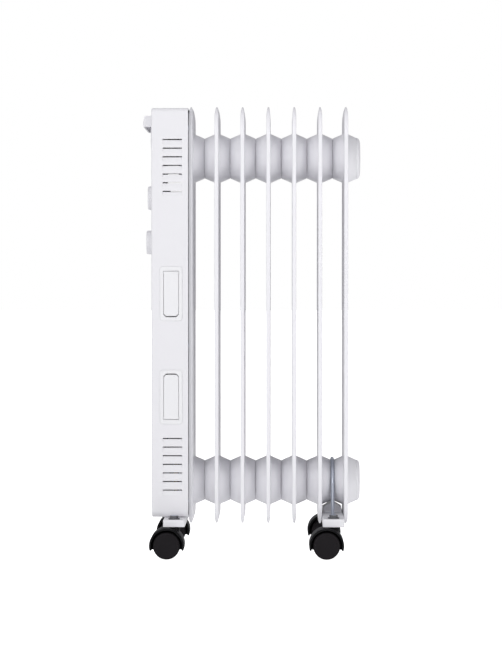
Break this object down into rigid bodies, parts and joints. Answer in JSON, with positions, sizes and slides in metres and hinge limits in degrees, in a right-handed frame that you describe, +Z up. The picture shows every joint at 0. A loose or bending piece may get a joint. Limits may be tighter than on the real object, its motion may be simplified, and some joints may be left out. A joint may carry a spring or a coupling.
{
  "type": "oil filled radiator heater",
  "caption": "Free-standing oil filled column radiator with a control box, rotary knobs, carry handle, fold-out cord hooks and swivel casters.",
  "frame": {"origin": "on the floor, under the middle of the heater's overall length and width", "axes": "+X from the control box to the last fin, +Y across the fins towards the cord gland side, +Z up"},
  "size_m": [0.2984, 0.236, 0.615],
  "materials": {
    "radiator_paint": "white satin powder coat",
    "foot_paint": "white satin powder coat",
    "box_plastic": "fine satin white moulding",
    "hook_plastic": "fine satin white moulding",
    "fascia_plastic": "smooth pale grey",
    "knob_plastic": "smooth white",
    "shaft_plastic": "moulded",
    "lamp_lens": "translucent amber lens",
    "switch_plastic": "heat resistant moulding",
    "terminal_plastic": "moulded",
    "wire_insulation": "silicone sleeve",
    "gland_plastic": "moulded",
    "shield_steel": "bright zinc coated sheet",
    "zinc_plate": "blue passivated zinc plate",
    "black_zinc": "black passivated, slightly glossy",
    "element_sheath": "bare tube",
    "brass_fitting": "turned",
    "fibre_gasket": "pressed fibre",
    "heat_oil": "clear amber oil",
    "caster_plastic": "black nylon",
    "wheel_plastic": "black nylon"
  },
  "bodies": {
    "root": {"fin_1": "radiator_paint", "fin_2": "radiator_paint", "fin_3": "radiator_paint", "fin_4": "radiator_paint", "fin_5": "radiator_paint", "fin_6": "radiator_paint", "fin_7": "radiator_paint", "upper_end_cap": "radiator_paint", "lower_end_cap": "radiator_paint", "upper_front_cap": "radiator_paint", "element_port": "radiator_paint", "oil_fill_plug": "zinc_plate", "element_gasket": "fibre_gasket", "element_plug": "brass_fitting", "heating_element": "element_sheath", "element_terminals": "zinc_plate", "oil_charge": "heat_oil", "control_box": "box_plastic", "heat_shield": "shield_steel", "pan_screws": "zinc_plate", "carry_handle": "box_plastic", "control_fascia": "fascia_plastic", "pilot_lamp": "lamp_lens", "thermostat": "switch_plastic", "power_switch": "switch_plastic", "thermal_cutout": "switch_plastic", "terminal_block": "terminal_plastic", "internal_wiring": "wire_insulation", "cord_gland": "gland_plastic", "cord_clamp": "gland_plastic", "upper_hook_bezel": "hook_plastic", "lower_hook_bezel": "hook_plastic", "front_foot": "foot_paint", "rear_foot": "foot_paint", "u_bolt": "zinc_plate", "wing_nuts": "zinc_plate", "stem_nuts": "black_zinc", "caster_stems": "zinc_plate"},
    "thermostat_dial": {"thermostat_knob": "knob_plastic", "thermostat_shaft": "shaft_plastic"},
    "power_dial": {"power_knob": "knob_plastic", "power_shaft": "shaft_plastic"},
    "upper_hook": {"upper_hook_flap": "hook_plastic"},
    "lower_hook": {"lower_hook_flap": "hook_plastic"},
    "front_right_caster": {"front_right_hood": "caster_plastic", "front_right_axle": "zinc_plate"},
    "front_right_roller_a": {"front_right_wheel_a": "wheel_plastic"},
    "front_right_roller_b": {"front_right_wheel_b": "wheel_plastic"},
    "front_left_caster": {"front_left_hood": "caster_plastic", "front_left_axle": "zinc_plate"},
    "front_left_roller_a": {"front_left_wheel_a": "wheel_plastic"},
    "front_left_roller_b": {"front_left_wheel_b": "wheel_plastic"},
    "rear_right_caster": {"rear_right_hood": "caster_plastic", "rear_right_axle": "zinc_plate"},
    "rear_right_roller_a": {"rear_right_wheel_a": "wheel_plastic"},
    "rear_right_roller_b": {"rear_right_wheel_b": "wheel_plastic"},
    "rear_left_caster": {"rear_left_hood": "caster_plastic", "rear_left_axle": "zinc_plate"},
    "rear_left_roller_a": {"rear_left_wheel_a": "wheel_plastic"},
    "rear_left_roller_b": {"rear_left_wheel_b": "wheel_plastic"}
  },
  "joints": [
    {"name": "front_right_swivel", "type": "hinge", "parent": "root", "child": "front_right_caster", "pos_m": [-0.1051, -0.097, 0.035], "axis": [0, 0, 1], "continuous": true},
    {"name": "front_right_roll_a", "type": "hinge", "parent": "front_right_caster", "child": "front_right_roller_a", "pos_m": [-0.1147, -0.097, 0.0183], "axis": [0, 1, 0], "continuous": true},
    {"name": "front_right_roll_b", "type": "hinge", "parent": "front_right_caster", "child": "front_right_roller_b", "pos_m": [-0.1147, -0.097, 0.0183], "axis": [0, 1, 0], "continuous": true},
    {"name": "front_left_swivel", "type": "hinge", "parent": "root", "child": "front_left_caster", "pos_m": [-0.1051, 0.097, 0.035], "axis": [0, 0, 1], "continuous": true},
    {"name": "front_left_roll_a", "type": "hinge", "parent": "front_left_caster", "child": "front_left_roller_a", "pos_m": [-0.1147, 0.097, 0.0183], "axis": [0, 1, 0], "continuous": true},
    {"name": "front_left_roll_b", "type": "hinge", "parent": "front_left_caster", "child": "front_left_roller_b", "pos_m": [-0.1147, 0.097, 0.0183], "axis": [0, 1, 0], "continuous": true},
    {"name": "rear_right_swivel", "type": "hinge", "parent": "root", "child": "rear_right_caster", "pos_m": [0.111, -0.097, 0.035], "axis": [0, 0, 1], "continuous": true},
    {"name": "rear_right_roll_a", "type": "hinge", "parent": "rear_right_caster", "child": "rear_right_roller_a", "pos_m": [0.1014, -0.097, 0.0183], "axis": [0, 1, 0], "continuous": true},
    {"name": "rear_right_roll_b", "type": "hinge", "parent": "rear_right_caster", "child": "rear_right_roller_b", "pos_m": [0.1014, -0.097, 0.0183], "axis": [0, 1, 0], "continuous": true},
    {"name": "rear_left_swivel", "type": "hinge", "parent": "root", "child": "rear_left_caster", "pos_m": [0.111, 0.097, 0.035], "axis": [0, 0, 1], "continuous": true},
    {"name": "rear_left_roll_a", "type": "hinge", "parent": "rear_left_caster", "child": "rear_left_roller_a", "pos_m": [0.1014, 0.097, 0.0183], "axis": [0, 1, 0], "continuous": true},
    {"name": "rear_left_roll_b", "type": "hinge", "parent": "rear_left_caster", "child": "rear_left_roller_b", "pos_m": [0.1014, 0.097, 0.0183], "axis": [0, 1, 0], "continuous": true},
    {"name": "thermostat_turn", "type": "hinge", "parent": "root", "child": "thermostat_dial", "pos_m": [-0.14, 0, 0.4911], "axis": [1, 0, 0], "range_deg": [0, 280]},
    {"name": "power_turn", "type": "hinge", "parent": "root", "child": "power_dial", "pos_m": [-0.14, 0, 0.4295], "axis": [1, 0, 0], "range_deg": [0, 270]},
    {"name": "upper_hook_fold", "type": "hinge", "parent": "root", "child": "upper_hook", "pos_m": [-0.11, -0.0752, 0.3867], "axis": [-1, 0, 0], "range_deg": [0, 90]},
    {"name": "lower_hook_fold", "type": "hinge", "parent": "root", "child": "lower_hook", "pos_m": [-0.11, -0.0752, 0.1892], "axis": [1, 0, 0], "range_deg": [0, 90]}
  ]
}
